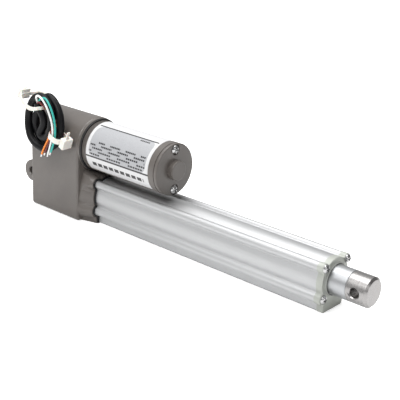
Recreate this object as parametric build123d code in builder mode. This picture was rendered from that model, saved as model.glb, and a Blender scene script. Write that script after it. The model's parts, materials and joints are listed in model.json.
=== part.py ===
from build123d import *
import os
from math import acos, atan2, cos, degrees, pi, radians, sin, sqrt, tan

# A 12 V parallel-drive linear actuator. Millimetres. +X is the way the rod extends, +Z is up with
# the motor above the tube, and the origin is the centre of the rear clevis bore.

# ---- Driving dimensions -------------------------------------------------------------------------
STROKE = 200.0
PIN_R = 3.2                       # clevis bores, for a 6.4 mm pin
ROD_END_BORE_X = STROKE + 105.0   # hole to hole when retracted
BASE_Z = -20.5                    # flat underside of housing, tube foot and end cap

# Extruded tube: a round body with four screw lobes and a flat foot
BODY_R = 14.1
BORE_R = 12.1
LOBE_Y = 11.8
LOBE_Z = 10.4
UPPER_LOBE_R = 3.1
LOWER_LOBE_R = 3.5
FOOT_HALF = 10.8
FOOT_TOP_Z = -11.0
CHANNEL_HALF = 9.2
CHANNEL_Z = (-18.9, -14.5)
PORT_R = 1.45
TUBE_X = (58.0, 281.0)

# Gear housing: block below, half barrel around the motor axis above
HOUSING_HALF = 20.8
HOUSING_WALL = 3.0
HOUSING_X = (15.0, 68.5)
COVER_IN_X = 19.0
CAVITY_END_X = 54.0
MOTOR_SEAT_X = 62.0
MOTOR_Z = 36.2
RIM_X = 70.0
NECK_X = 81.0
NECK_WALL = 1.9
EAR_R = 8.8
EAR_HALF = 9.0

# Rod, rod end and end cap
ROD_R = 10.0
ROD_BORE_R = 6.5
JOINT_X = 298.9
ROD_FRONT_X = 313.5
CAP_X = (281.0, 285.5)
RUN = 0.04                        # radial running clearance

# Motor
MOTOR_R = 19.0
BELL_X = (71.5, 75.5)
CAN_END_X = 139.6
MOTOR_CAP_X = 147.4
MOTOR_SCREW_Z = 14.6
MOTOR_BOSS_R = 7.2
MOTOR_BOSS_H = 4.1
SHAFT_R = 2.5

# Gear train: the same tooth pair in both stages
MODULE = 0.7
PINION_TEETH = 14
WHEEL_TEETH = 38
CENTRES = MODULE * (PINION_TEETH + WHEEL_TEETH) / 2
IDLER_Z = MOTOR_Z / 2
IDLER_Y = sqrt(CENTRES**2 - IDLER_Z**2)

# Lead screw
SCREW_R = 5.0
JOURNAL_R = 4.0
SCREW_PITCH = 4.0

# Cable
CABLE_R = 3.0
WIRE_R = 0.85
COIL_CENTRE = (38.7, 52.3)        # X and Z of the coil's axis, which lies along Y
COIL_OUTER = (17.8, 22.2)         # half width and half height
COIL_INNER = (7.5, 15.5)
COIL_Y = (-31.0, -22.2)
EXIT = (36.0, 33.0)               # X and Z of the cable's hole in the side wall

os.makedirs("parts", exist_ok=True)


# ---- Shared shapes --------------------------------------------------------------------------------
def across(x, y=0.0, z=0.0):
    """A plane across the rod's axis: local x is +Y, local y is +Z, normal +X."""
    return Plane(origin=(x, y, z), x_dir=(0, 1, 0), z_dir=(1, 0, 0))


def disc(x0, x1, radius, y=0.0, z=0.0, bore=0.0):
    """A round bar along +X from x0 to x1, with a bore if one is given."""
    with BuildPart() as bar:
        with BuildSketch(across(x0, y, z)):
            Circle(radius)
            if bore:
                Circle(bore, mode=Mode.SUBTRACT)
        extrude(amount=x1 - x0)
    return bar.part


def tube_outline(grow=0.0):
    """The extrusion's outer outline, grown outwards by grow."""
    reach = BODY_R + grow
    with BuildSketch() as outline:
        Circle(reach)
        for side in (-1, 1):
            with Locations((side * LOBE_Y, LOBE_Z)):
                Circle(UPPER_LOBE_R + grow)
            with Locations((side * LOBE_Y, -LOBE_Z)):
                Circle(LOWER_LOBE_R + grow)
        with Locations((0, BASE_Z - grow)):
            Rectangle(2 * (FOOT_HALF + grow), FOOT_TOP_Z - BASE_Z, align=(Align.CENTER, Align.MIN))
        creases = [v for v in outline.vertices() if abs(v.Y) > 1 and v.Y > BASE_Z - grow + 1]
        creases = [v for v in creases if abs(v.X) < LOBE_Y + 1]
        fillet(creases, 1.0)
        corners = outline.vertices().group_by(Axis.Y)[0]
        chamfer(corners, 1.2)
    return outline.sketch


def housing_outline(shrink=0.0):
    """The gear housing's outline across the rod's axis: a block topped by a half barrel."""
    half = HOUSING_HALF - shrink
    with BuildSketch() as outline:
        with Locations((0, BASE_Z + shrink)):
            Rectangle(2 * half, MOTOR_Z - BASE_Z - shrink, align=(Align.CENTER, Align.MIN))
        with Locations((0, MOTOR_Z)):
            Circle(half)
    return outline.sketch


def pan_screw(head_r, head_h, shank_r, length):
    """A cross-recess pan-head screw along +Z: the head above Z = 0, the shank below."""
    with BuildPart() as screw:
        with BuildSketch(Plane.XZ):
            with BuildLine():
                Polyline((0, head_h), (0, -length), (shank_r - 0.4, -length), (shank_r, -length + 0.6),
                         (shank_r, 0), (head_r, 0), (head_r, 0.35 * head_h))
                ThreePointArc((head_r, 0.35 * head_h), (0.62 * head_r, 0.82 * head_h), (0, head_h))
            make_face()
        revolve(axis=Axis.Z)
        with BuildSketch(Plane.XY.offset(0.4 * head_h)):
            Rectangle(1.15 * head_r, 0.3 * head_r)
            Rectangle(0.3 * head_r, 1.15 * head_r)
        extrude(amount=head_h, mode=Mode.SUBTRACT)
    return screw.part


def gear_face(teeth, phase):
    """A stub involute gear's outline, with a tooth centred at the phase angle, in degrees."""
    pitch_r = MODULE * teeth / 2
    base_r = pitch_r * cos(radians(20))
    tip_r = pitch_r + 0.8 * MODULE
    root_r = pitch_r - MODULE
    backlash = 0.12

    def half_angle(r):
        involute = [tan(a) - a for a in (acos(base_r / pitch_r), acos(min(1.0, base_r / r)))]
        return (pi / 2 - backlash / MODULE / 2) / teeth + involute[0] - involute[1]

    def flank(r, side):
        return (r * cos(half_angle(r)), side * r * sin(half_angle(r)))

    start_r = max(base_r, root_r)
    foot = (root_r - 0.3) * cos(half_angle(start_r)), (root_r - 0.3) * sin(half_angle(start_r))
    with BuildSketch() as tooth:
        with BuildLine():
            for side in (-1, 1):
                ThreePointArc(flank(start_r, side), flank(pitch_r, side), flank(tip_r, side))
                Line((foot[0], side * foot[1]), flank(start_r, side))
            ThreePointArc(flank(tip_r, -1), (tip_r, 0), flank(tip_r, 1))
            Line((foot[0], -foot[1]), foot)
        make_face()
    with BuildSketch() as face:
        Circle(root_r)
        with PolarLocations(0, teeth, start_angle=phase):
            add(tooth.sketch)
    return face.sketch


def gear(x0, x1, teeth, y, z, phase):
    """A gear along +X from x0 to x1."""
    with BuildPart() as wheel:
        with BuildSketch(across(x0, y, z)):
            add(gear_face(teeth, phase))
        extrude(amount=x1 - x0)
    return wheel.part


lobes = [(side * LOBE_Y, up * LOBE_Z) for up in (1, -1) for side in (-1, 1)]
to_motor = degrees(atan2(MOTOR_Z - IDLER_Z, -IDLER_Y))
to_screw = degrees(atan2(-IDLER_Z, -IDLER_Y))

# ---- Gear housing ---------------------------------------------------------------------------------
cover_screws_yz = [(-14.2, -14.0), (14.2, -14.0), (-9.5, 46.5), (9.5, 46.5)]

with BuildPart() as gear_housing:
    with BuildSketch(across(HOUSING_X[0])):
        add(housing_outline())
    extrude(amount=HOUSING_X[1] - HOUSING_X[0])
    long_edges = gear_housing.edges().filter_by(Axis.X).group_by(Axis.Z)[0]
    fillet(long_edges, 2.5)
    fillet(gear_housing.faces().sort_by(Axis.X)[-1].edges(), 1.6)
    fillet(gear_housing.faces().sort_by(Axis.X)[0].edges(), 1.2)
    # the neck around the tube, flaring back into the block
    with BuildSketch(across(NECK_X)):
        add(tube_outline(NECK_WALL))
    with BuildSketch(across(HOUSING_X[1] - 3)):
        add(tube_outline(NECK_WALL + 4.2))
    loft(ruled=True)
    with BuildSketch(across(HOUSING_X[0])):
        with Locations((0, BASE_Z)):
            Rectangle(2 * HOUSING_HALF, 90, align=(Align.CENTER, Align.MIN))
    extrude(amount=NECK_X - HOUSING_X[0], mode=Mode.INTERSECT)
    # the neck's sides lean in above its foot, clear of the block's sides
    with BuildSketch(across(HOUSING_X[1])):
        for side in (-1, 1):
            with BuildLine():
                Polyline((side * 21.5, -9), (side * 20.4, -9), (side * 17.6, 10), (side * 15.6, 16), (side * 15.6, 22),
                         (side * 21.5, 22), close=True)
            make_face()
    extrude(amount=NECK_X + 1 - HOUSING_X[1], mode=Mode.SUBTRACT)
    add(disc(HOUSING_X[1] - 3, RIM_X, HOUSING_HALF - 0.4, z=MOTOR_Z))
    # gear cavity, open at the rear, with bosses for the cover screws
    with BuildSketch(across(HOUSING_X[0])):
        add(housing_outline(HOUSING_WALL))
    extrude(amount=CAVITY_END_X - HOUSING_X[0], mode=Mode.SUBTRACT)
    with BuildSketch(across(COVER_IN_X)):
        with Locations(*cover_screws_yz):
            Circle(4.0)
    extrude(amount=13)
    with BuildSketch(across(COVER_IN_X)):
        with Locations(*cover_screws_yz):
            Circle(PORT_R)
    extrude(amount=11, mode=Mode.SUBTRACT)
    # motor seat, shaft hole, tube socket and the screw's front bush
    add(disc(MOTOR_SEAT_X, RIM_X, 17.7, z=MOTOR_Z), mode=Mode.SUBTRACT)
    add(disc(CAVITY_END_X, MOTOR_SEAT_X, 6.0, z=MOTOR_Z), mode=Mode.SUBTRACT)
    with BuildSketch(across(TUBE_X[0])):
        add(tube_outline(0.1))
    extrude(amount=NECK_X - TUBE_X[0], mode=Mode.SUBTRACT)
    add(disc(CAVITY_END_X, TUBE_X[0], 6.5), mode=Mode.SUBTRACT)
    with BuildSketch(across(CAVITY_END_X)):
        with Locations(*lobes):
            Circle(1.7)
    extrude(amount=TUBE_X[0] - CAVITY_END_X, mode=Mode.SUBTRACT)
    with BuildSketch(across(56)):
        with Locations((0, MOTOR_Z - MOTOR_SCREW_Z), (0, MOTOR_Z + MOTOR_SCREW_Z)):
            Circle(1.75)
    extrude(amount=MOTOR_SEAT_X - 56, mode=Mode.SUBTRACT)
    add(disc(CAVITY_END_X, 57, SHAFT_R, y=IDLER_Y, z=IDLER_Z), mode=Mode.SUBTRACT)
    # room for the motor's front end above the neck
    add(disc(RIM_X, NECK_X + 1, HOUSING_HALF - 0.5, z=MOTOR_Z), mode=Mode.SUBTRACT)
    # cable hole in the side wall
    with BuildSketch(Plane.XZ.offset(HOUSING_HALF - HOUSING_WALL - 1)):
        with Locations(EXIT):
            Circle(4.2)
    extrude(amount=HOUSING_WALL + 2, mode=Mode.SUBTRACT)
gear_housing.part.label = "gear_housing"
export_step(gear_housing.part, "parts/gear_housing.step")

# ---- Rear cover with the clevis ear ---------------------------------------------------------------
with BuildPart() as rear_cover:
    with BuildSketch(Plane.XZ):
        Circle(EAR_R)
        Rectangle(HOUSING_X[0] + 1, 2 * EAR_R, align=(Align.MIN, Align.CENTER))
    extrude(amount=EAR_HALF, both=True)
    fillet(rear_cover.faces().filter_by(Axis.Y).edges().filter_by(lambda e: e.center().X < 14), 1.0)
    with BuildSketch(across(HOUSING_X[0])):
        add(housing_outline(HOUSING_WALL + 0.1))
    extrude(amount=COVER_IN_X - HOUSING_X[0])
    add(disc(COVER_IN_X, 26.5, 13.5))
    add(disc(20.2, 26.5, 11.0), mode=Mode.SUBTRACT)
    add(disc(17.5, 20.2, 7.0), mode=Mode.SUBTRACT)
    add(disc(17.0, COVER_IN_X, SHAFT_R, y=IDLER_Y, z=IDLER_Z), mode=Mode.SUBTRACT)
    with BuildSketch(Plane.XZ):
        Circle(PIN_R)
    extrude(amount=EAR_HALF, both=True, mode=Mode.SUBTRACT)
    chamfer(rear_cover.edges().filter_by(GeomType.CIRCLE).filter_by(lambda e: e.radius == PIN_R), 0.6)
    with BuildSketch(across(HOUSING_X[0])):
        with Locations(*cover_screws_yz):
            Circle(1.7)
    extrude(amount=COVER_IN_X - HOUSING_X[0], mode=Mode.SUBTRACT)
rear_cover.part.label = "rear_cover"
export_step(rear_cover.part, "parts/rear_cover.step")

with BuildPart() as rear_cover_screws:
    backwards = [Plane(origin=(HOUSING_X[0], y, z), x_dir=(0, 1, 0), z_dir=(-1, 0, 0))
                 for y, z in cover_screws_yz]
    with Locations(*backwards):
        add(pan_screw(2.9, 2.0, PORT_R, 12))
rear_cover_screws.part.label = "rear_cover_screws"
export_step(rear_cover_screws.part, "parts/rear_cover_screws.step")

# ---- Tube, its gasket and its screws --------------------------------------------------------------
with BuildPart() as outer_tube:
    with BuildSketch(across(TUBE_X[0])):
        add(tube_outline())
        Circle(BORE_R, mode=Mode.SUBTRACT)
        with Locations(*lobes):
            Circle(PORT_R, mode=Mode.SUBTRACT)
        with Locations((0, CHANNEL_Z[0])):
            Rectangle(2 * CHANNEL_HALF, CHANNEL_Z[1] - CHANNEL_Z[0], align=(Align.CENTER, Align.MIN),
                      mode=Mode.SUBTRACT)
    extrude(amount=TUBE_X[1] - TUBE_X[0])
outer_tube.part.label = "outer_tube"
export_step(outer_tube.part, "parts/outer_tube.step")

with BuildPart() as tube_gasket:
    with BuildSketch(across(NECK_X)):
        add(tube_outline(1.2))
        add(tube_outline(), mode=Mode.SUBTRACT)
    extrude(amount=0.8)
    with BuildSketch(across(NECK_X)):
        with Locations((0, BASE_Z)):
            Rectangle(60, 60, align=(Align.CENTER, Align.MIN))
    extrude(amount=0.8, mode=Mode.INTERSECT)
tube_gasket.part.label = "tube_gasket"
export_step(tube_gasket.part, "parts/tube_gasket.step")

with BuildPart() as tube_screws:
    with Locations(*[Plane(origin=(CAVITY_END_X, y, z), x_dir=(0, 1, 0), z_dir=(-1, 0, 0)) for y, z in lobes]):
        add(pan_screw(2.9, 2.0, PORT_R, 16))
tube_screws.part.label = "tube_screws"
export_step(tube_screws.part, "parts/tube_screws.step")

# ---- End cap, wiper, guide bush and screws --------------------------------------------------------
WIPER_R = 11.3
WIPER_X = (282.5, 286.5)

with BuildPart() as end_cap:
    with BuildSketch(across(CAP_X[0])):
        add(tube_outline(0.2))
    extrude(amount=CAP_X[1] - CAP_X[0])
    fillet(end_cap.faces().sort_by(Axis.X)[-1].edges(), 0.5)
    add(disc(CAP_X[0], WIPER_X[0], 10.4), mode=Mode.SUBTRACT)
    add(disc(WIPER_X[0], CAP_X[1], WIPER_R), mode=Mode.SUBTRACT)
    with BuildSketch(across(CAP_X[0])):
        with Locations(*lobes):
            Circle(1.7)
    extrude(amount=CAP_X[1] - CAP_X[0], mode=Mode.SUBTRACT)
    with BuildSketch(across(CAP_X[0])):
        with Locations((0, BASE_Z)):
            Rectangle(60, 60, align=(Align.CENTER, Align.MIN))
    extrude(amount=CAP_X[1] - CAP_X[0], mode=Mode.INTERSECT)
end_cap.part.label = "end_cap"
export_step(end_cap.part, "parts/end_cap.step")

with BuildPart() as end_cap_screws:
    with Locations(*[across(CAP_X[1], y, z) for y, z in lobes]):
        add(pan_screw(2.9, 2.0, PORT_R, 14))
end_cap_screws.part.label = "end_cap_screws"
export_step(end_cap_screws.part, "parts/end_cap_screws.step")

with BuildPart() as wiper_seal:
    add(disc(WIPER_X[0], WIPER_X[1], WIPER_R, bore=ROD_R + RUN))
    chamfer(wiper_seal.faces().sort_by(Axis.X)[-1].edges().sort_by(SortBy.LENGTH)[-1:], 0.9)
wiper_seal.part.label = "wiper_seal"
export_step(wiper_seal.part, "parts/wiper_seal.step")

with BuildPart() as guide_bush:
    add(disc(270.5, TUBE_X[1], BORE_R, bore=ROD_R + RUN))
guide_bush.part.label = "guide_bush"
export_step(guide_bush.part, "parts/guide_bush.step")

# ---- Rod: tube, rod end, drive nut and its magnet -------------------------------------------------
NUT_X = (59.0, 70.0)
SPIGOT_X = 84.0
MAGNET_X = 64.5

with BuildPart() as rod_tube:
    add(disc(NUT_X[1], JOINT_X, ROD_R, bore=ROD_BORE_R))
    chamfer(rod_tube.edges().filter_by(GeomType.CIRCLE).sort_by(Axis.X)[-2:].sort_by(SortBy.LENGTH)[-1:], 0.35)
rod_tube.part.label = "rod_tube"
export_step(rod_tube.part, "parts/rod_tube.step")

with BuildPart() as rod_end:
    add(disc(JOINT_X, ROD_FRONT_X, ROD_R))
    chamfer(rod_end.edges().sort_by(Axis.X)[-1:], length=1.3, length2=1.6)
    chamfer(rod_end.edges().sort_by(Axis.X)[:1], 0.35)
    add(disc(288.0, JOINT_X, ROD_BORE_R))
    with BuildSketch(Plane.XZ):
        with Locations((ROD_END_BORE_X, 0)):
            Circle(PIN_R)
    extrude(amount=ROD_R + 1, both=True, mode=Mode.SUBTRACT)
    for side in (-1, 1):
        with BuildSketch(Plane.XZ.offset(side * (ROD_R - 1.1))):
            with Locations((ROD_END_BORE_X, 0)):
                Circle(PIN_R)
        extrude(amount=side * 1.4, taper=-45, mode=Mode.SUBTRACT)
rod_end.part.label = "rod_end"
export_step(rod_end.part, "parts/rod_end.step")

with BuildPart() as drive_nut:
    add(disc(NUT_X[0], NUT_X[1], BORE_R - RUN))
    add(disc(NUT_X[1], SPIGOT_X, ROD_BORE_R))
    add(disc(NUT_X[0], SPIGOT_X, SCREW_R + RUN), mode=Mode.SUBTRACT)
    with BuildSketch(Plane.XY.offset(-8.5)):
        with Locations((MAGNET_X, 0)):
            Circle(1.5)
    extrude(amount=-5, mode=Mode.SUBTRACT)
drive_nut.part.label = "drive_nut"
export_step(drive_nut.part, "parts/drive_nut.step")

with BuildPart() as nut_magnet:
    with BuildSketch(Plane.XY.offset(-8.5)):
        with Locations((MAGNET_X, 0)):
            Circle(1.5)
    extrude(amount=-3)
nut_magnet.part.label = "nut_magnet"
export_step(nut_magnet.part, "parts/nut_magnet.step")

# ---- Lead screw, output gear and bearings ---------------------------------------------------------
OUTPUT_X = (32.0, 40.0)
BEARING_X = (20.2, 27.2)
SCREW_END_X = 284.0
KEY_HALF = 1.0
KEY_Z = (3.0, 4.8)

with BuildPart() as lead_screw:
    with BuildSketch(Plane.XZ):
        with BuildLine():
            crests = []
            x = TUBE_X[0] + 1.5
            while x < SCREW_END_X - SCREW_PITCH:
                crests += [(x, SCREW_R), (x + 1.6, SCREW_R), (x + 2.2, SCREW_R - 0.9), (x + 3.4, SCREW_R - 0.9)]
                x += SCREW_PITCH
            Polyline((19.2, 0), (19.2, JOURNAL_R), (TUBE_X[0] + 1, JOURNAL_R), *crests,
                     (SCREW_END_X, SCREW_R - 0.9), (SCREW_END_X, 0), close=True)
        make_face()
    revolve(axis=Axis.X)
    with BuildSketch(Plane.XY.offset(KEY_Z[0])):
        with Locations(((OUTPUT_X[0] + OUTPUT_X[1]) / 2, 0)):
            Rectangle(7, 2 * KEY_HALF)
    extrude(amount=3, mode=Mode.SUBTRACT)
lead_screw.part.label = "lead_screw"
export_step(lead_screw.part, "parts/lead_screw.step")

wheel_phase = to_screw + 180 + 180 / WHEEL_TEETH
pinion_phase = to_motor + 180 + 180 / PINION_TEETH

with BuildPart() as output_gear:
    add(gear(OUTPUT_X[0], OUTPUT_X[1], WHEEL_TEETH, 0, 0, wheel_phase))
    add(disc(OUTPUT_X[0], OUTPUT_X[1], JOURNAL_R), mode=Mode.SUBTRACT)
    with BuildSketch(Plane.XY.offset(KEY_Z[0])):
        with Locations(((OUTPUT_X[0] + OUTPUT_X[1]) / 2, 0)):
            Rectangle(OUTPUT_X[1] - OUTPUT_X[0], 2 * KEY_HALF)
    extrude(amount=KEY_Z[1] - KEY_Z[0], mode=Mode.SUBTRACT)
output_gear.part.label = "output_gear"
export_step(output_gear.part, "parts/output_gear.step")

with BuildPart() as gear_key:
    with BuildSketch(Plane.XY.offset(KEY_Z[0])):
        with Locations(((OUTPUT_X[0] + OUTPUT_X[1]) / 2, 0)):
            Rectangle(7, 2 * KEY_HALF)
    extrude(amount=KEY_Z[1] - KEY_Z[0])
gear_key.part.label = "gear_key"
export_step(gear_key.part, "parts/gear_key.step")

with BuildPart() as screw_spacer:
    add(disc(BEARING_X[1], OUTPUT_X[0], JOURNAL_R + 1.8, bore=JOURNAL_R))
screw_spacer.part.label = "screw_spacer"
export_step(screw_spacer.part, "parts/screw_spacer.step")

with BuildPart() as screw_collars:
    add(disc(COVER_IN_X + 0.3, BEARING_X[0], JOURNAL_R + 1.8, bore=JOURNAL_R))
    add(disc(OUTPUT_X[1], OUTPUT_X[1] + 1.2, JOURNAL_R + 1.8, bore=JOURNAL_R))
screw_collars.part.label = "screw_collars"
export_step(screw_collars.part, "parts/screw_collars.step")

with BuildPart() as screw_bush:
    add(disc(CAVITY_END_X, TUBE_X[0], 6.5, bore=JOURNAL_R + RUN))
screw_bush.part.label = "screw_bush"
export_step(screw_bush.part, "parts/screw_bush.step")

# Deep-groove ball bearing behind the screw, 8 x 22 x 7
BALL_R = 1.95
BALL_PCR = 7.5
BALLS = 7
BALL_X = sum(BEARING_X) / 2


def race_groove():
    """The ring of space that the balls run in."""
    with BuildPart() as groove:
        with BuildSketch(Plane.XZ):
            with Locations((BALL_X, BALL_PCR)):
                Circle(BALL_R + 0.03)
        revolve(axis=Axis.X)
    return groove.part


with BuildPart() as bearing_outer_race:
    add(disc(BEARING_X[0], BEARING_X[1], 11.0, bore=8.6))
    add(race_groove(), mode=Mode.SUBTRACT)
bearing_outer_race.part.label = "bearing_outer_race"
export_step(bearing_outer_race.part, "parts/bearing_outer_race.step")

with BuildPart() as bearing_inner_race:
    add(disc(BEARING_X[0], BEARING_X[1], 6.4, bore=JOURNAL_R))
    add(race_groove(), mode=Mode.SUBTRACT)
bearing_inner_race.part.label = "bearing_inner_race"
export_step(bearing_inner_race.part, "parts/bearing_inner_race.step")

with BuildPart() as bearing_balls:
    with Locations(across(BALL_X)):
        with PolarLocations(BALL_PCR, BALLS):
            Sphere(BALL_R)
bearing_balls.part.label = "bearing_balls"
export_step(bearing_balls.part, "parts/bearing_balls.step")

# ---- Idler ------------------------------------------------------------------------------------------
SMALL_X = (31.0, 43.0)
LARGE_X = (43.0, 49.0)

with BuildPart() as idler_gear:
    add(gear(SMALL_X[0], SMALL_X[1], PINION_TEETH, IDLER_Y, IDLER_Z, to_screw))
    add(gear(LARGE_X[0], LARGE_X[1], WHEEL_TEETH, IDLER_Y, IDLER_Z, to_motor))
    add(disc(SMALL_X[0], LARGE_X[1], SHAFT_R + RUN, IDLER_Y, IDLER_Z), mode=Mode.SUBTRACT)
idler_gear.part.label = "idler_gear"
export_step(idler_gear.part, "parts/idler_gear.step")

with BuildPart() as idler_shaft:
    add(disc(17.0, 57.0, SHAFT_R, IDLER_Y, IDLER_Z))
idler_shaft.part.label = "idler_shaft"
export_step(idler_shaft.part, "parts/idler_shaft.step")

with BuildPart() as idler_spacers:
    add(disc(COVER_IN_X, SMALL_X[0] - 0.1, SHAFT_R + 1.4, IDLER_Y, IDLER_Z, bore=SHAFT_R))
    add(disc(LARGE_X[1] + 0.1, CAVITY_END_X, SHAFT_R + 1.4, IDLER_Y, IDLER_Z, bore=SHAFT_R))
idler_spacers.part.label = "idler_spacers"
export_step(idler_spacers.part, "parts/idler_spacers.step")

# ---- Motor ------------------------------------------------------------------------------------------
MAGNET_X_RANGE = (84.0, 124.0)
CORE_X = (87.0, 121.0)
CORE_R = 12.2
COMMUTATOR_X = (128.0, 136.0)
COMMUTATOR_R = 5.5
SLOTS = 7
CAN_WALL = 1.6

with BuildPart() as motor_gasket:
    add(disc(RIM_X, BELL_X[0], HOUSING_HALF - 0.7, z=MOTOR_Z, bore=17.6))
motor_gasket.part.label = "motor_gasket"
export_step(motor_gasket.part, "parts/motor_gasket.step")

with BuildPart() as motor_bell:
    add(disc(MOTOR_SEAT_X, BELL_X[0], 17.6, z=MOTOR_Z))
    add(disc(BELL_X[0], BELL_X[1], MOTOR_R, z=MOTOR_Z))
    for groove_x in (72.7, 74.1):
        add(disc(groove_x, groove_x + 0.5, MOTOR_R, z=MOTOR_Z, bore=MOTOR_R - 0.4), mode=Mode.SUBTRACT)
    add(disc(MOTOR_SEAT_X + 3, BELL_X[1], 16.6, z=MOTOR_Z, bore=8.0), mode=Mode.SUBTRACT)
    add(disc(72.5, BELL_X[1], 9.0, z=MOTOR_Z), mode=Mode.SUBTRACT)
    add(disc(MOTOR_SEAT_X, 72.5, 6.0, z=MOTOR_Z), mode=Mode.SUBTRACT)
    for side in (-1, 1):
        add(disc(MOTOR_SEAT_X, MOTOR_SEAT_X + 3, 1.8, z=MOTOR_Z + side * MOTOR_SCREW_Z), mode=Mode.SUBTRACT)
motor_bell.part.label = "motor_bell"
export_step(motor_bell.part, "parts/motor_bell.step")

with BuildPart() as motor_can:
    add(disc(BELL_X[1], CAN_END_X, MOTOR_R - 0.2, z=MOTOR_Z, bore=MOTOR_R - CAN_WALL))
motor_can.part.label = "motor_can"
export_step(motor_can.part, "parts/motor_can.step")

with BuildPart() as motor_label:
    with BuildSketch(across(BELL_X[1] + 0.4, z=MOTOR_Z)):
        Circle(MOTOR_R)
        Circle(MOTOR_R - 0.2, mode=Mode.SUBTRACT)
        with BuildLine():
            Polyline((0, 0), (30 * cos(radians(226)), 30 * sin(radians(226))), (-10, -40), (45, -40), (45, 12),
                     (30 * cos(radians(20)), 30 * sin(radians(20))), close=True)
        make_face(mode=Mode.SUBTRACT)
    extrude(amount=CAN_END_X - BELL_X[1] - 0.8)
motor_label.part.label = "motor_label"
export_step(motor_label.part, "parts/motor_label.step")

with BuildPart() as motor_end_cap:
    add(disc(CAN_END_X, MOTOR_CAP_X, MOTOR_R - 0.05, z=MOTOR_Z))
    fillet(motor_end_cap.edges().filter_by(GeomType.CIRCLE).sort_by(Axis.X)[-1:], 0.9)
    with BuildPart() as boss:
        add(disc(MOTOR_CAP_X - 1, MOTOR_CAP_X + MOTOR_BOSS_H, MOTOR_BOSS_R, z=MOTOR_Z))
        fillet(boss.edges().filter_by(GeomType.CIRCLE).sort_by(Axis.X)[-1:], 0.7)
    add(boss.part)
    # a turned groove round the skirt
    add(disc(144.4, 145.0, MOTOR_R, z=MOTOR_Z, bore=MOTOR_R - 0.6), mode=Mode.SUBTRACT)
    # hollow with a hub for the rear bush
    add(disc(CAN_END_X, 144.0, 16.5, z=MOTOR_Z, bore=7.2), mode=Mode.SUBTRACT)
    add(disc(CAN_END_X, 141.0, 7.2, z=MOTOR_Z), mode=Mode.SUBTRACT)
    add(disc(141.0, 149.4, 5.0, z=MOTOR_Z), mode=Mode.SUBTRACT)
    for side in (-1, 1):
        add(disc(144.0, MOTOR_CAP_X, 1.85, z=MOTOR_Z + side * MOTOR_SCREW_Z), mode=Mode.SUBTRACT)
        add(disc(MOTOR_CAP_X - 1.0, MOTOR_CAP_X, 4.0, z=MOTOR_Z + side * MOTOR_SCREW_Z), mode=Mode.SUBTRACT)
motor_end_cap.part.label = "motor_end_cap"
export_step(motor_end_cap.part, "parts/motor_end_cap.step")

with BuildPart() as motor_screws:
    with Locations(*[across(MOTOR_CAP_X - 1.0, 0, MOTOR_Z + side * MOTOR_SCREW_Z) for side in (-1, 1)]):
        add(pan_screw(3.2, 2.6, 1.75, MOTOR_CAP_X - 1.0 - 57))
motor_screws.part.label = "motor_screws"
export_step(motor_screws.part, "parts/motor_screws.step")

with BuildPart() as motor_bushes:
    add(disc(MOTOR_SEAT_X + 0.5, 72.4, 6.0, z=MOTOR_Z, bore=SHAFT_R + RUN))
    add(disc(141.5, 149.4, 5.0, z=MOTOR_Z, bore=SHAFT_R + RUN))
motor_bushes.part.label = "motor_bushes"
export_step(motor_bushes.part, "parts/motor_bushes.step")

with BuildPart() as motor_magnets:
    with BuildSketch(across(MAGNET_X_RANGE[0], z=MOTOR_Z)):
        Circle(MOTOR_R - CAN_WALL)
        Circle(CORE_R + 0.6, mode=Mode.SUBTRACT)
        Rectangle(13, 60, mode=Mode.SUBTRACT)
    extrude(amount=MAGNET_X_RANGE[1] - MAGNET_X_RANGE[0])
motor_magnets.part.label = "motor_magnets"
export_step(motor_magnets.part, "parts/motor_magnets.step")

with BuildPart() as motor_shaft:
    add(disc(40.0, 149.0, SHAFT_R, z=MOTOR_Z))
    chamfer(motor_shaft.edges().filter_by(GeomType.CIRCLE), 0.3)
motor_shaft.part.label = "motor_shaft"
export_step(motor_shaft.part, "parts/motor_shaft.step")

with BuildPart() as motor_pinion:
    add(gear(42.0, 50.0, PINION_TEETH, 0, MOTOR_Z, pinion_phase))
    add(disc(42.0, 50.0, SHAFT_R, z=MOTOR_Z), mode=Mode.SUBTRACT)
motor_pinion.part.label = "motor_pinion"
export_step(motor_pinion.part, "parts/motor_pinion.step")


def slot_face():
    """The winding slots of the armature, each a slot with a narrow mouth."""
    with BuildSketch() as slots:
        with PolarLocations(8.6, SLOTS):
            Circle(1.9)
        with PolarLocations(10.6, SLOTS):
            Rectangle(4.4, 1.3)
    return slots.sketch


with BuildPart() as armature_core:
    with BuildSketch(across(CORE_X[0], z=MOTOR_Z)):
        Circle(CORE_R)
        add(slot_face(), mode=Mode.SUBTRACT)
        Circle(SHAFT_R, mode=Mode.SUBTRACT)
    extrude(amount=CORE_X[1] - CORE_X[0])
armature_core.part.label = "armature_core"
export_step(armature_core.part, "parts/armature_core.step")

with BuildPart() as armature_winding:
    for x0, x1 in ((CORE_X[0] - 6, CORE_X[0]), (CORE_X[1], CORE_X[1] + 6)):
        add(disc(x0, x1, 10.6, z=MOTOR_Z, bore=SHAFT_R + 1))
    fillet(armature_winding.edges().filter_by(GeomType.CIRCLE).filter_by(lambda e: e.radius > 10), 1.5)
    with BuildSketch(across(CORE_X[0] - 0.1, z=MOTOR_Z)):
        with PolarLocations(8.6, SLOTS):
            Circle(1.8)
    extrude(amount=CORE_X[1] - CORE_X[0] + 0.2)
armature_winding.part.label = "armature_winding"
export_step(armature_winding.part, "parts/armature_winding.step")

with BuildPart() as commutator:
    add(disc(COMMUTATOR_X[0], COMMUTATOR_X[1], COMMUTATOR_R, z=MOTOR_Z, bore=SHAFT_R))
    with BuildSketch(across(COMMUTATOR_X[0], z=MOTOR_Z)):
        with PolarLocations(COMMUTATOR_R, SLOTS):
            Rectangle(1.4, 0.4)
    extrude(amount=COMMUTATOR_X[1] - COMMUTATOR_X[0], mode=Mode.SUBTRACT)
commutator.part.label = "commutator"
export_step(commutator.part, "parts/commutator.step")

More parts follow.
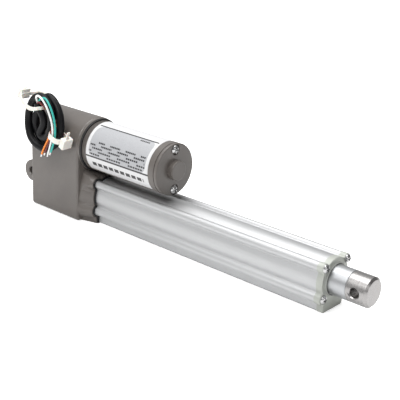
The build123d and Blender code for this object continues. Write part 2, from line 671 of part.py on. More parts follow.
BRUSH_X = 132.0
BRUSH_Y = (5.65, 11.0)

with BuildPart() as brushes:
    for side in (-1, 1):
        with BuildSketch(across(BRUSH_X - 2, side * sum(BRUSH_Y) / 2, MOTOR_Z)):
            Rectangle(BRUSH_Y[1] - BRUSH_Y[0], 4)
        extrude(amount=4)
brushes.part.label = "brushes"
export_step(brushes.part, "parts/brushes.step")

with BuildPart() as brush_holder:
    add(disc(137.0, 138.6, 17.3, z=MOTOR_Z, bore=6.5))
    for side in (-1, 1):
        with BuildSketch(across(BRUSH_X - 3, side * 9.8, MOTOR_Z)):
            Rectangle(6.4, 5.8)
        extrude(amount=137.0 - BRUSH_X + 3)
    for side in (-1, 1):
        with BuildSketch(across(BRUSH_X - 2, side * 9.2, MOTOR_Z)):
            Rectangle(9.0, 4)
        extrude(amount=4, mode=Mode.SUBTRACT)
        add(disc(137.0, 138.6, 2.0, z=MOTOR_Z + side * MOTOR_SCREW_Z), mode=Mode.SUBTRACT)
brush_holder.part.label = "brush_holder"
export_step(brush_holder.part, "parts/brush_holder.step")

# ---- Limit switching in the tube's foot -----------------------------------------------------------
BOARD_Z = CHANNEL_Z[0] + 1.2

with BuildPart() as limit_board:
    with BuildSketch(Plane.XY.offset(CHANNEL_Z[0])):
        with Locations((169, 0)):
            Rectangle(214, 14)
    extrude(amount=BOARD_Z - CHANNEL_Z[0])
limit_board.part.label = "limit_board"
export_step(limit_board.part, "parts/limit_board.step")

with BuildPart() as reed_switches:
    for x in (MAGNET_X - 1, MAGNET_X + STROKE - 13):
        add(disc(x, x + 14, 1.1, z=BOARD_Z + 1.1))
reed_switches.part.label = "reed_switches"
export_step(reed_switches.part, "parts/reed_switches.step")

# ---- Cable ------------------------------------------------------------------------------------------
with BuildPart() as cable_grommet:
    with BuildSketch(Plane.XZ.offset(HOUSING_HALF - HOUSING_WALL)):
        with Locations(EXIT):
            Circle(4.2)
            Circle(CABLE_R, mode=Mode.SUBTRACT)
    extrude(amount=HOUSING_WALL)
    with BuildSketch(Plane.XZ.offset(HOUSING_HALF)):
        with Locations(EXIT):
            Circle(5.6)
            Circle(CABLE_R, mode=Mode.SUBTRACT)
    extrude(amount=0.9)
cable_grommet.part.label = "cable_grommet"
export_step(cable_grommet.part, "parts/cable_grommet.step")

with BuildPart() as cable_lead:
    with BuildSketch(Plane.XZ.offset(HOUSING_HALF - HOUSING_WALL - 3)):
        with Locations(EXIT):
            Circle(CABLE_R)
    extrude(amount=-COIL_Y[1] - (HOUSING_HALF - HOUSING_WALL - 3))
cable_lead.part.label = "cable_lead"
export_step(cable_lead.part, "parts/cable_lead.step")

coil_plane = Plane(origin=(COIL_CENTRE[0], COIL_Y[1], COIL_CENTRE[1]), x_dir=(1, 0, 0), z_dir=(0, -1, 0))

with BuildPart() as cable_coil:
    with BuildSketch(coil_plane):
        Ellipse(*COIL_OUTER)
        Ellipse(*COIL_INNER, mode=Mode.SUBTRACT)
    extrude(amount=COIL_Y[1] - COIL_Y[0])
    fillet(cable_coil.edges().filter_by(GeomType.LINE, reverse=True), 2.4)
cable_coil.part.label = "cable_coil"
export_step(cable_coil.part, "parts/cable_coil.step")

STRAP = 1.0
STRAP_HALF = 2.1
TIE_FRONT_Y = COIL_Y[0] - 2 * WIRE_R - 0.2


def tie(name, inner, angle, reach):
    """A cable tie whose loop runs from its inner leg, at X and Z, outwards at an angle from +X
    towards +Z, with its head beyond it."""
    outwards = (cos(radians(angle)), 0, sin(radians(angle)))
    section = Plane(origin=(inner[0], 0, inner[1]), x_dir=outwards,
                    z_dir=(sin(radians(angle)), 0, -cos(radians(angle))))
    with BuildPart() as loop:
        with BuildSketch(section):
            for grow, mode in ((STRAP, Mode.ADD), (0, Mode.SUBTRACT)):
                low_y, high_y = TIE_FRONT_Y - grow, COIL_Y[1] + grow
                with Locations((reach / 2, -(low_y + high_y) / 2)):
                    Rectangle(reach + 2 * grow, high_y - low_y, mode=mode)
        extrude(amount=STRAP_HALF, both=True)
        with BuildSketch(section):
            with Locations((reach + STRAP + 2.3, -sum(COIL_Y) / 2)):
                Rectangle(4.6, 8.6)
        extrude(amount=4.0, both=True)
    loop.part.label = name
    export_step(loop.part, f"parts/{name}.step")


tie("cable_tie_upper", (38.5, 64.8), 169, 24.2)
tie("cable_tie_lower", (41.4, 48.8), -21, 18.4)

# Four wires leave the jacket near the coil's top and run down its front to bare ends
WIRE_ROUTES = {
    "wire_white": [(40.2, 73.5), (46.8, 63.8), (51.0, 54.0), (52.3, 44.5), (51.0, 36.0), (48.0, 28.8)],
    "wire_teal": [(44.5, 73.0), (51.0, 63.8), (54.6, 54.0), (55.6, 44.6), (54.0, 36.5), (51.2, 30.6)],
    "wire_orange": [(33.0, 68.6), (38.5, 60.0), (43.0, 52.2), (44.6, 44.0), (43.6, 36.5), (41.3, 28.9)],
    "wire_red": [(38.5, 72.0), (44.8, 62.4), (47.8, 53.2), (48.6, 44.4), (47.3, 36.6), (44.8, 29.8)],
}
wire_y = COIL_Y[0] - WIRE_R - 0.1

for name, corners in WIRE_ROUTES.items():
    route = [Vector(x, wire_y, z) for x, z in corners]
    runs = [b - a for a, b in zip(route, route[1:])]
    radii = [0.45 * min(a.length, b.length) / tan(radians(a.get_angle(b)) / 2) for a, b in zip(runs, runs[1:])]
    with BuildPart() as wire:
        with BuildLine() as path:
            FilletPolyline(*route, radius=radii)
        with BuildSketch(Plane(origin=path.line @ 0, z_dir=path.line % 0)):
            Circle(WIRE_R)
        sweep()
    length = path.wires()[0].length
    print(f"{name}: {length:.1f} mm long, radii {[round(r, 1) for r in radii]},",
          f"volume {wire.part.volume:.1f} of {pi * WIRE_R**2 * length:.1f}")
    wire.part.label = name
    export_step(wire.part, f"parts/{name}.step")
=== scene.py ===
"""The linear actuator's looks: its materials, the tied cable with four wires, and a plain studio."""
import json
from math import cos, pi, radians, sin

import bmesh
import bpy
from mathutils import Matrix, Vector


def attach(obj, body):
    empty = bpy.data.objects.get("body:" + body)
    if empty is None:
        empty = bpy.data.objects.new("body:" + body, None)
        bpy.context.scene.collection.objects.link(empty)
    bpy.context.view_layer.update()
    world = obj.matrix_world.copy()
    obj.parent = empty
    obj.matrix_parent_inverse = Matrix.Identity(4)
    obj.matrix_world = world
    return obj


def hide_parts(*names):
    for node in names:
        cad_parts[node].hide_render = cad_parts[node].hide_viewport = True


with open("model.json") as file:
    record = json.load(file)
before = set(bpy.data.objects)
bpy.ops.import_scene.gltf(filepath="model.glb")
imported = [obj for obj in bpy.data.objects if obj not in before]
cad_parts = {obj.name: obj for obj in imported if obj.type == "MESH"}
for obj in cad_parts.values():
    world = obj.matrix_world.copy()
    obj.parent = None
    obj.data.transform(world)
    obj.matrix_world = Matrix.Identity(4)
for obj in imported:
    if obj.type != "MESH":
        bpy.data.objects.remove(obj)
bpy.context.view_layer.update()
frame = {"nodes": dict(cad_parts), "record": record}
nodes = frame["nodes"]
scene = bpy.context.scene
MM = 0.001  # places and sizes are in millimetres, and this carries them to the scene's metres


def mm(*xyz):
    return Vector(xyz) * MM


# ---- Camera ---------------------------------------------------------------------------------------
AZIMUTH, ELEVATION, ROLL = radians(40.65), radians(20.27), radians(2.76)
CAMERA_PLACE = (558.1, -449.8, 239.4)
LENS, SENSOR_WIDTH = 82.54, 36
CLIP_END = 50  # metres


def add_camera():
    back = Vector((sin(AZIMUTH) * cos(ELEVATION), -cos(AZIMUTH) * cos(ELEVATION), sin(ELEVATION)))
    level = Vector((cos(AZIMUTH), sin(AZIMUTH), 0))
    upright = back.cross(level)
    right = level * cos(ROLL) + upright * sin(ROLL)
    up = upright * cos(ROLL) - level * sin(ROLL)
    data = bpy.data.cameras.new("camera")
    data.lens = LENS
    data.sensor_width = SENSOR_WIDTH
    data.clip_end = CLIP_END
    camera = bpy.data.objects.new("camera", data)
    scene.collection.objects.link(camera)
    turn = Matrix((right, up, back)).transposed().to_4x4()
    camera.matrix_world = Matrix.Translation(mm(*CAMERA_PLACE)) @ turn
    scene.camera = camera


add_camera()


# ---- Materials ------------------------------------------------------------------------------------
class Shader:
    """A material under construction, with short calls for the nodes it needs."""

    def __init__(self, name, roughness=0.5, metallic=0.0, **sockets):
        self.material = bpy.data.materials.new(name)
        self.material.use_nodes = True
        self.tree = self.material.node_tree
        self.bsdf = self.tree.nodes["Principled BSDF"]
        self.bsdf.inputs["Roughness"].default_value = roughness
        self.bsdf.inputs["Metallic"].default_value = metallic
        for socket, value in sockets.items():
            self.bsdf.inputs[socket.replace("_", " ")].default_value = value
        self.place = self.tree.nodes.new("ShaderNodeTexCoord").outputs["Object"]

    def link(self, value, socket):
        if isinstance(value, bpy.types.NodeSocket):
            self.tree.links.new(value, socket)
        else:
            socket.default_value = value

    def math(self, operation, *values):
        node = self.tree.nodes.new("ShaderNodeMath")
        node.operation = operation
        for value, socket in zip(values, node.inputs):
            self.link(value, socket)
        return node.outputs[0]

    def add(self, a, b):
        return self.math("ADD", a, b)

    def subtract(self, a, b):
        return self.math("SUBTRACT", a, b)

    def times(self, a, b):
        return self.math("MULTIPLY", a, b)

    def length(self, a, b):
        """The hypotenuse of a and b."""
        return self.math("SQRT", self.add(self.times(a, a), self.times(b, b)))

    def xyz(self):
        node = self.tree.nodes.new("ShaderNodeSeparateXYZ")
        self.link(self.place, node.inputs[0])
        return node.outputs

    def noise(self, scale, detail=3.0, stretch=(1, 1, 1)):
        mapping = self.tree.nodes.new("ShaderNodeMapping")
        self.link(self.place, mapping.inputs["Vector"])
        mapping.inputs["Scale"].default_value = stretch
        node = self.tree.nodes.new("ShaderNodeTexNoise")
        self.link(mapping.outputs[0], node.inputs["Vector"])
        node.inputs["Scale"].default_value = scale
        node.inputs["Detail"].default_value = detail
        return node.outputs["Fac"]

    def span(self, noise, low, high):
        """Noise, most of which is from 0.3 to 0.7, spread from low to high."""
        node = self.tree.nodes.new("ShaderNodeMapRange")
        self.link(noise, node.inputs["Value"])
        for key, number in (("From Min", 0.3), ("From Max", 0.7), ("To Min", low), ("To Max", high)):
            node.inputs[key].default_value = number
        return node.outputs[0]

    def mix(self, factor, a, b):
        node = self.tree.nodes.new("ShaderNodeMix")
        node.data_type = "RGBA"
        factor_input, a_input, b_input = node.inputs[0], node.inputs[6], node.inputs[7]
        self.link(factor, factor_input)
        for value, socket in ((a, a_input), (b, b_input)):
            self.link(value if isinstance(value, bpy.types.NodeSocket) else (*value, 1), socket)
        return node.outputs[2]

    def bump(self, height, strength, depth):
        node = self.tree.nodes.new("ShaderNodeBump")
        node.inputs["Strength"].default_value = strength
        node.inputs["Distance"].default_value = depth
        self.link(height, node.inputs["Height"])
        self.link(node.outputs[0], self.bsdf.inputs["Normal"])

    def colour(self, value):
        self.link(value, self.bsdf.inputs["Base Color"])

    def mottle(self, noise, colour, dark, light):
        """The colour, wandering from a dark share of itself to a light one."""
        low, high = (tuple(min(1.0, c * share) for c in colour) for share in (dark, light))
        self.colour(self.mix(self.span(noise, 0, 1), low, high))

    def rough(self, noise, low, high):
        self.link(self.span(noise, low, high), self.bsdf.inputs["Roughness"])


def paint(name, colour, roughness, grain, depth, **sockets):
    """Powder coat or a fine casting: faint mottle, orange peel, and a roughness that wanders."""
    m = Shader(name, roughness, **sockets)
    m.mottle(m.noise(scale=60), colour, dark=0.93, light=1.06)
    m.rough(m.noise(scale=220, detail=2), low=roughness - 0.05, high=roughness + 0.06)
    m.bump(m.noise(scale=grain, detail=4), strength=0.35, depth=depth)
    return m.material


def metal(name, colour, roughness, scale, depth, stretch=(1, 1, 1), **sockets):
    """Bare or anodised metal, with tool or die lines along the axes where the stretch is least."""
    m = Shader(name, roughness, 1.0, **sockets)
    lines = m.noise(scale, detail=4, stretch=stretch)
    m.mottle(lines, colour, dark=0.95, light=1.04)
    m.rough(lines, low=roughness - 0.05, high=roughness + 0.07)
    m.bump(lines, strength=0.25, depth=depth)
    return m.material


def turned(name, colour, roughness):
    """Bright turned bar, with fine rings round X."""
    m = Shader(name, roughness, 1.0)
    rings = m.noise(scale=1, stretch=(9000, 60, 60))
    m.mottle(rings, colour, dark=0.96, light=1.03)
    m.rough(rings, low=roughness - 0.03, high=roughness + 0.05)
    m.bump(rings, strength=0.12, depth=0.01 * MM)
    return m.material


def plastic(name, colour, roughness, **sockets):
    """Moulded plastic, nylon or rubber, with a fine grain."""
    m = Shader(name, roughness, **sockets)
    m.mottle(m.noise(scale=400), colour, dark=0.94, light=1.05)
    m.rough(m.noise(scale=900), low=roughness - 0.05, high=roughness + 0.06)
    m.bump(m.noise(scale=2500, detail=2), strength=0.15, depth=0.05 * MM)
    return m.material


LIP_RADIUS = 10.5


def wiper(name):
    """The wiper seal: a black lip next to the rod, and a grey backing round it."""
    m = Shader(name, 0.5)
    _, y, z = m.xyz()
    lip = m.math("LESS_THAN", m.length(y, z), LIP_RADIUS * MM)
    backing = m.mix(m.noise(scale=500), (0.26, 0.27, 0.25), (0.32, 0.33, 0.31))
    m.colour(m.mix(lip, backing, (0.02, 0.02, 0.02)))
    return m.material


# The label. Its angles are in degrees round the motor's axis, 0 on the -Y side and 90 on top, and its
# places along X are shares of its length.
MOTOR_Z = 36.2
LABEL_START, LABEL_END = 75.9, 139.2
FIELD_TURN, FIELD_HALF_TURN = 32.0, 38.5
FIELD_HALF = 0.455
CORNER, CORNER_TURN = 0.09, 15
LOWER_RULE, UPPER_RULE = (-7.0, 1.9), (71.5, 1.8)  # angle and half width
UPPER_RULE_HALF = 0.47
ROWS = ((0, 0.50, 0.44), (7, 0.50, 0.45), (14, 0.52, 0.42),  # angle of a row of bars, middle, half length
        (21, 0.50, 0.44), (28, 0.56, 0.38), (64, 0.80, 0.14))
ROW_HALF_TURN = 1.9
BLOCKS_TURN, BLOCKS_HALF_TURN, BLOCKS_HALF = -24, 4.6, 0.42
WHITE_FILM, INK = (0.62, 0.62, 0.625), (0.008, 0.008, 0.009)
SILVER = ((0.34, 0.345, 0.36), (0.40, 0.405, 0.42))


def label(name):
    """White film with a silver field, two rules, and rows of plain bars in place of print."""
    m = Shader(name, 0.42, 0.0, Coat_Weight=0.3, Coat_Roughness=0.2)
    x, y, z = m.xyz()
    turn = m.times(m.math("ARCTAN2", m.subtract(z, MOTOR_Z * MM), m.times(y, -1.0)), 180 / pi)
    along = m.math("DIVIDE", m.subtract(x, LABEL_START * MM), (LABEL_END - LABEL_START) * MM)

    def near(value, centre, half):
        return m.math("COMPARE", value, centre, half)

    def stripes(count, start, share):
        """1 on a share of each of the parts that the label's length is cut into."""
        return m.math("LESS_THAN", m.math("FRACT", m.math("MULTIPLY_ADD", along, count, start)), share)

    def past(value, middle, half):
        """How far the value is outside the range, or 0 inside it."""
        away = m.math("ABSOLUTE", m.subtract(value, middle))
        return m.math("MAXIMUM", m.subtract(away, half), 0.0)

    # the silver field has rounded corners
    past_ends = past(along, 0.5, FIELD_HALF - CORNER)
    past_sides = past(turn, FIELD_TURN, FIELD_HALF_TURN - CORNER_TURN)
    past_sides = m.math("DIVIDE", past_sides, CORNER_TURN / CORNER)
    field = m.math("LESS_THAN", m.length(past_ends, past_sides), CORNER)

    inked = [near(turn, *LOWER_RULE), m.times(near(turn, *UPPER_RULE), near(along, 0.5, UPPER_RULE_HALF))]
    for row, (angle, middle, half) in enumerate(ROWS):
        letters = stripes(count=26.0 + 3.1 * row, start=0.0, share=0.80)
        words = stripes(count=2.9 + 0.3 * row, start=0.37 * row, share=0.66)
        bars = m.times(near(turn, angle, ROW_HALF_TURN), near(along, middle, half))
        inked.append(m.times(bars, m.times(letters, words)))
    blocks = m.times(near(along, 0.5, BLOCKS_HALF), stripes(count=11.0, start=0.0, share=0.76))
    inked.append(m.times(near(turn, BLOCKS_TURN, BLOCKS_HALF_TURN), blocks))
    ink = inked[0]
    for more in inked[1:]:
        ink = m.math("MAXIMUM", ink, more)

    speckle = m.noise(scale=1500, detail=2)
    film = m.mix(field, WHITE_FILM, m.mix(m.span(speckle, 0, 1), *SILVER))
    m.colour(m.mix(ink, film, INK))
    m.bump(speckle, strength=0.1, depth=0.03 * MM)
    return m.material


def grey(value):
    return (value, value, value)


LOOKS = {  # each material slot of the record, and two materials for pieces that have no slot of their own
    "taupe_paint": (paint, dict(colour=(0.108, 0.096, 0.087), roughness=0.36, grain=900, depth=0.10 * MM,
                                Coat_Weight=0.15, Coat_Roughness=0.25)),
    "clear_anodised": (metal, dict(colour=(0.52, 0.525, 0.53), roughness=0.52, scale=14, depth=0.04 * MM,
                                   stretch=(1.5, 160, 160))),
    "cap_casting": (paint, dict(colour=(0.41, 0.425, 0.39), roughness=0.5, grain=1600, depth=0.12 * MM,
                                Metallic=0.35)),
    "rod_steel": (turned, dict(colour=(0.47, 0.48, 0.49), roughness=0.38)),
    "turned_steel": (turned, dict(colour=(0.37, 0.36, 0.355), roughness=0.28)),
    "screw_chrome": (metal, dict(colour=grey(0.55), roughness=0.13, scale=900, depth=0.02 * MM)),
    "machined_steel": (metal, dict(colour=(0.52, 0.52, 0.53), roughness=0.32, scale=300, depth=0.04 * MM,
                                   stretch=(8, 1, 1))),
    "bearing_steel": (metal, dict(colour=(0.66, 0.66, 0.68), roughness=0.14, scale=300, depth=0.02 * MM,
                                  stretch=(20, 1, 1))),
    "black_rubber": (plastic, dict(colour=grey(0.012), roughness=0.6)),
    "cable_jacket": (plastic, dict(colour=(0.004, 0.004, 0.005), roughness=0.40, Specular_IOR_Level=0.2)),
    "wire_white": (plastic, dict(colour=(0.86, 0.86, 0.84), roughness=0.4)),
    "wire_teal": (plastic, dict(colour=(0.035, 0.42, 0.36), roughness=0.4)),
    "wire_orange": (plastic, dict(colour=(0.86, 0.24, 0.02), roughness=0.4)),
    "wire_red": (plastic, dict(colour=(0.13, 0.012, 0.014), roughness=0.4)),
    "tie_nylon": (plastic, dict(colour=(0.76, 0.735, 0.68), roughness=0.40,
                                Subsurface_Weight=0.15, Subsurface_Scale=2 * MM)),
    "label_film": (label, {}),
    "nut_polymer": (plastic, dict(colour=(0.76, 0.74, 0.66), roughness=0.45)),
    "bronze": (metal, dict(colour=(0.50, 0.33, 0.17), roughness=0.45, scale=700, depth=0.05 * MM)),
    "copper": (metal, dict(colour=(0.70, 0.30, 0.14), roughness=0.3, scale=60, depth=0.08 * MM,
                           stretch=(1, 30, 30))),
    "magnet": (paint, dict(colour=grey(0.09), roughness=0.6, grain=1500, depth=0.1 * MM)),
    "carbon": (plastic, dict(colour=grey(0.04), roughness=0.5)),
    "board": (plastic, dict(colour=(0.03, 0.20, 0.07), roughness=0.4)),
    "switch_glass": (plastic, dict(colour=(0.60, 0.75, 0.68), roughness=0.1)),
    "tinned_copper": (metal, dict(colour=grey(0.72), roughness=0.3, scale=3000, depth=0.04 * MM)),
    "wiper_lip": (wiper, {}),
}
materials = {name: make(name, **look) for name, (make, look) in LOOKS.items()}

for entry in frame["record"]["subparts"]:
    for material_slot in nodes[entry["node"]].material_slots:
        material_slot.material = materials[entry["material_slot"]]
nodes["wiper_seal"].material_slots[0].material = materials["wiper_lip"]


# ---- Cable and wires ------------------------------------------------------------------------------
CABLE_RADIUS = 3.0
COIL_X, COIL_Z = 37.9, 51.9
HALF_X, HALF_Z = 17.0, 20.3

# Share of the coil's oval and depth at each eighth of a turn, clockwise from the bottom:
# bottom, lower left, left, upper left, top, upper right, right, lower right
TURNS = (
    ((1.00, -22.8), (0.86, -23.8), (0.60, -26.2), (0.56, -25.4),
     (0.95, -22.4), (0.88, -22.6), (0.97, -24.4), (1.00, -24.8)),
    ((1.00, -28.4), (1.00, -29.6), (1.00, -27.8), (1.00, -27.0),
     (0.95, -28.0), (0.80, -28.4), (0.62, -28.4), (0.60, -28.1)),
    ((0.58, -28.0), (0.46, -28.6)),
)
CABLE_START = ((36.0, -17.6, 33.0), (36.0, -20.4, 33.0), (35.2, -23.4, 33.1))
CABLE_END = ((38.0, -28.2, 47.4), (40.8, -28.4, 52.4), (39.5, -28.8, 57.8), (35.8, -29.4, 62.0),
             (35.1, -29.9, 66.0))

WIRE_RADIUS = 0.75
WIRES = {  # control points from the jacket's end to the bare tip, and the length
    "wire_white": (((36.0, -30.6, 67.2), (35.8, -32.6, 70.8), (38.6, -33.05, 73.3), (43.4, -33.0, 71.9),
                    (47.7, -32.5, 67.2), (51.3, -32.2, 60.6), (53.8, -32.0, 54.0), (54.3, -31.9, 47.2),
                    (52.0, -31.9, 39.6), (48.6, -31.9, 30.4)), 0.058),
    "wire_teal": (((36.9, -30.4, 66.6), (38.8, -31.4, 69.8), (42.2, -31.5, 71.7), (46.2, -31.9, 72.4),
                   (50.3, -32.2, 69.4), (53.4, -31.8, 64.0), (55.6, -31.4, 57.2), (56.3, -31.2, 50.0),
                   (56.0, -31.5, 44.0), (54.2, -31.9, 38.0), (51.6, -31.9, 32.4)), 0.055),
    "wire_orange": (((35.4, -29.9, 67.0), (38.0, -30.0, 67.0), (40.0, -28.4, 64.0), (42.2, -25.4, 60.6),
                     (45.4, -24.0, 57.6), (49.6, -24.0, 55.0), (51.5, -26.1, 52.4), (52.0, -29.2, 50.0),
                     (51.0, -31.6, 47.2), (49.4, -31.9, 42.4), (45.6, -31.9, 36.4), (42.8, -31.9, 32.0),
                     (41.4, -31.9, 28.6)), 0.052),
    "wire_red": (((35.9, -30.9, 65.8), (38.4, -31.7, 68.6), (41.2, -31.0, 66.6), (43.2, -28.0, 62.6),
                  (45.6, -24.8, 60.2), (48.7, -24.4, 58.4), (51.4, -26.1, 55.6), (52.1, -29.4, 53.0),
                  (52.5, -31.6, 50.0), (52.4, -31.9, 46.4), (51.0, -31.9, 42.0), (48.1, -31.9, 36.6),
                  (45.2, -31.9, 30.6)), 0.053),
}
TIP_RADIUS = 0.6
TIP_REACH = (-0.5, 1.0, 2.4)  # control points of a bare tip, from inside the insulation's end


def cord_curve(name, points, radius, material):
    data = bpy.data.curves.new(name, "CURVE")
    data.dimensions = "3D"
    data.bevel_depth = radius * MM
    data.bevel_resolution = 6
    data.resolution_u = 6
    data.use_fill_caps = True
    spline = data.splines.new("NURBS")
    spline.points.add(len(points) - 1)
    for point, place in zip(spline.points, points):
        point.co = (*mm(*place), 1)
    spline.order_u = 3
    spline.use_endpoint_u = True
    data.materials.append(materials[material])
    curve = bpy.data.objects.new(name, data)
    scene.collection.objects.link(curve)
    return curve


def coil_points():
    """Control points of the turns, two for each eighth, which leave out the very first station."""
    stations = [station for turn in TURNS for station in turn]
    points = []
    for eighth, ((share, y), (next_share, next_y)) in enumerate(zip(stations, stations[1:])):
        for part in (0.0, 0.5):
            angle = radians(-90 - 45 * (eighth + part))
            oval = share + (next_share - share) * part
            points.append((COIL_X + HALF_X * oval * cos(angle), y + (next_y - y) * part,
                           COIL_Z + HALF_Z * oval * sin(angle)))
    return points[1:]


def add_cable():
    route = [*CABLE_START, *coil_points(), *CABLE_END]
    cable = cord_curve("cable", route, CABLE_RADIUS, "cable_jacket")
    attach(cable, "fixed")
    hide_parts("cable_lead", "cable_coil")
    return cable


def add_wire(name, points):
    wire = cord_curve(name + "_lead", points, WIRE_RADIUS, name)
    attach(wire, "fixed")
    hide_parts(name)
    last, before = Vector(points[-1]), Vector(points[-2])
    along = (last - before).normalized()
    tip_points = [last + along * reach for reach in TIP_REACH]
    tip = cord_curve(name + "_tip", tip_points, TIP_RADIUS, "tinned_copper")
    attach(tip, "fixed")


cable = add_cable()
for name, (points, length) in WIRES.items():
    add_wire(name, points)


# ---- Ties -----------------------------------------------------------------------------------------
STRAP_THICKNESS = 0.9
STRAP_FRONT = -32.9
STRAP_CORNER = 3.4
HEAD_Y = -26.6
HEAD_LENGTH, HEAD_HALF_DEPTH, HEAD_HALF_WIDTH = 4.6, 4.3, 4.0
TAIL_START, TAIL_END, TAIL_HALF_DEPTH = 1.6, 2.6, 1.4
CORNER_STEPS, SIDE_STEPS = 6, 8
EDGE = 0.45
BOX_FACES = ((0, 1, 3, 2), (4, 6, 7, 5), (0, 4, 5, 1), (2, 3, 7, 6), (0, 2, 6, 4), (1, 5, 7, 3))


def mesh_piece(name, material, build):
    mesh = bpy.data.meshes.new(name)
    shape = bmesh.new()
    build(shape)
    bmesh.ops.recalc_face_normals(shape, faces=shape.faces)
    shape.to_mesh(mesh)
    shape.free()
    mesh.materials.append(material)
    piece = bpy.data.objects.new(name, mesh)
    scene.collection.objects.link(piece)
    return piece


def rounded_loop(u0, u1, v0, v1, radius):
    """A closed loop round a rectangle with rounded corners and points along its long sides."""
    points = []
    for cu, cv, start in ((u1 - radius, v1 - radius, 0), (u0 + radius, v1 - radius, 90),
                          (u0 + radius, v0 + radius, 180), (u1 - radius, v0 + radius, 270)):
        for step in range(CORNER_STEPS + 1):
            angle = radians(start + 90 * step / CORNER_STEPS)
            points.append((cu + radius * cos(angle), cv + radius * sin(angle)))
        if start in (0, 180):
            begin, end = (u1 - radius, u0 + radius) if start == 0 else (u0 + radius, u1 - radius)
            side_v = v1 if start == 0 else v0
            points += [(begin + (end - begin) * step / SIDE_STEPS, side_v) for step in range(1, SIDE_STEPS)]
    return points


def tie(name, node, leg, angle, reach, rear, bow, half, tail):
    """A cable tie: a strap round the bundle, a head on its outer end, and the cut tail.

    The strap goes from the leg, a place in XZ inside the bundle, as far as reach at the angle, and back
    from STRAP_FRONT to rear in Y. The bow moves its front to one side at mid-reach and its back to the
    other, half is half of its width, and tail is where the tail starts and ends across it.
    """
    out = Vector((cos(radians(angle)), 0, sin(radians(angle))))
    side = out.cross(Vector((0, 1, 0)))
    centre = Vector((leg[0], 0, leg[1]))

    def at(u, v, w):
        front_to_rear = 2 * (rear - v) / (rear - STRAP_FRONT) - 1
        lean = bow * front_to_rear * sin(pi * min(max(u / reach, 0), 1))
        return (centre + out * u + Vector((0, v, 0)) + side * (w + lean)) * MM

    def block(shape, us, vs, ws):
        corners = [shape.verts.new(at(u, v, w)) for u in us for v in vs for w in ws]
        for face in BOX_FACES:
            shape.faces.new([corners[i] for i in face])

    def build(shape):
        thick = STRAP_THICKNESS
        outer = rounded_loop(-thick, reach + thick, STRAP_FRONT - thick, rear + thick, STRAP_CORNER + 1)
        inner = rounded_loop(0, reach, STRAP_FRONT, rear, STRAP_CORNER)
        rings = []
        for inside, outside in zip(inner, outer):
            rings.append([shape.verts.new(at(*place, w)) for place, w in
                          ((inside, -half), (inside, half), (outside, half), (outside, -half))])
        for a, b in zip(rings, rings[1:] + rings[:1]):
            for i in range(4):
                shape.faces.new((a[i], a[(i + 1) % 4], b[(i + 1) % 4], b[i]))
        head = reach + thick
        block(shape, (head, head + HEAD_LENGTH), (HEAD_Y - HEAD_HALF_DEPTH, HEAD_Y + HEAD_HALF_DEPTH),
              (-HEAD_HALF_WIDTH, HEAD_HALF_WIDTH))
        block(shape, (head + TAIL_START, head + TAIL_END),
              (HEAD_Y - TAIL_HALF_DEPTH, HEAD_Y + TAIL_HALF_DEPTH), tail)

    piece = mesh_piece(name, materials["tie_nylon"], build)
    bevel = piece.modifiers.new("bevel", "BEVEL")
    bevel.width = EDGE * MM
    bevel.segments = 3
    bevel.limit_method = "ANGLE"
    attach(piece, "fixed")
    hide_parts(node)
    return piece


tie_upper = tie("tie_strap_upper", "cable_tie_upper", leg=(39.5, 63.4), angle=166, reach=22.2, rear=-20.0,
                bow=4.0, half=1.5, tail=(-4.6, 0.0))
tie_lower = tie("tie_strap_lower", "cable_tie_lower", leg=(49.6, 45.8), angle=-21, reach=10.7, rear=-21.8,
                bow=0.0, half=2.2, tail=(0.0, 9.5))


# ---- Floor, light and world -----------------------------------------------------------------------
FLOOR_Z = -20.6
FLOOR_HALF = 8  # metres
FLOOR_GLOW = 0.5  # added where the camera sees the floor, which takes it to white round the object
SKY_LEVEL = 0.35
SKY_LEAN = (-0.30, -0.05, 0.25)  # the sky is brighter this way, for shading only
LAMPS = {  # place and size in metres, and power in watts
    "key": dict(place=(0.2, -1.0, 1.2), aim=(0.15, 0, 0), size=(1.0, 0.7), power=13),
    "top": dict(place=(0.0, 0.2, 1.4), aim=(0.15, 0, 0), size=(1.4, 0.9), power=19),
    "front": dict(place=(1.4, -0.2, 0.5), aim=(0.2, 0, 0), size=(0.6, 0.6), power=1.5),
}


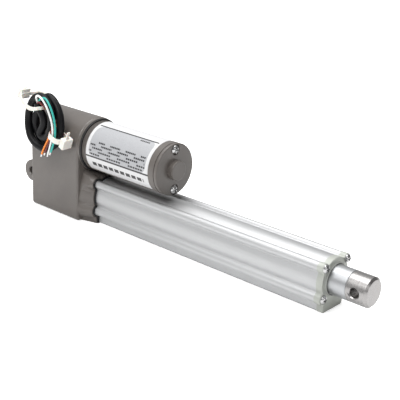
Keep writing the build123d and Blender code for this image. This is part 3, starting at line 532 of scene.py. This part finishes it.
def add_floor():
    m = Shader("floor", 0.9)
    m.colour(m.mix(m.span(m.noise(scale=2), 0, 1), grey(0.93), grey(0.95)))
    rays = m.tree.nodes.new("ShaderNodeLightPath")
    m.link(rays.outputs["Is Camera Ray"], m.bsdf.inputs["Emission Strength"])
    m.bsdf.inputs["Emission Color"].default_value = (*grey(FLOOR_GLOW), 1)

    def square(shape):
        corners = [shape.verts.new((x * FLOOR_HALF, y * FLOOR_HALF, FLOOR_Z * MM))
                   for x, y in ((-1, -1), (1, -1), (1, 1), (-1, 1))]
        shape.faces.new(corners)

    mesh_piece("floor", m.material, square)


def add_sky():
    """White to the camera, and to the object a soft light that leans one way."""
    world = bpy.data.worlds.new("world")
    world.use_nodes = True
    sky = world.node_tree
    background = sky.nodes["Background"]
    background.inputs["Color"].default_value = (1, 1, 1, 1)
    direction = sky.nodes.new("ShaderNodeTexCoord")
    lean = sky.nodes.new("ShaderNodeVectorMath")
    lean.operation = "DOT_PRODUCT"
    lean.inputs[1].default_value = SKY_LEAN
    level = sky.nodes.new("ShaderNodeMath")
    level.inputs[1].default_value = SKY_LEVEL
    rays = sky.nodes.new("ShaderNodeLightPath")
    seen = sky.nodes.new("ShaderNodeMath")
    seen.operation = "MAXIMUM"
    for start, end in ((direction.outputs["Generated"], lean.inputs[0]),
                       (lean.outputs["Value"], level.inputs[0]),
                       (level.outputs[0], seen.inputs[0]),
                       (rays.outputs["Is Camera Ray"], seen.inputs[1]),
                       (seen.outputs[0], background.inputs["Strength"])):
        sky.links.new(start, end)
    scene.world = world


def area_light(name, place, aim, size, power):
    data = bpy.data.lights.new(name, "AREA")
    data.shape = "RECTANGLE"
    data.size, data.size_y = size
    data.energy = power
    lamp = bpy.data.objects.new(name, data)
    lamp.location = place
    lamp.rotation_euler = (Vector(aim) - Vector(place)).to_track_quat("-Z", "Y").to_euler()
    scene.collection.objects.link(lamp)


add_floor()
add_sky()
for name, lamp in LAMPS.items():
    area_light(name, **lamp)
scene.view_settings.view_transform = "Standard"
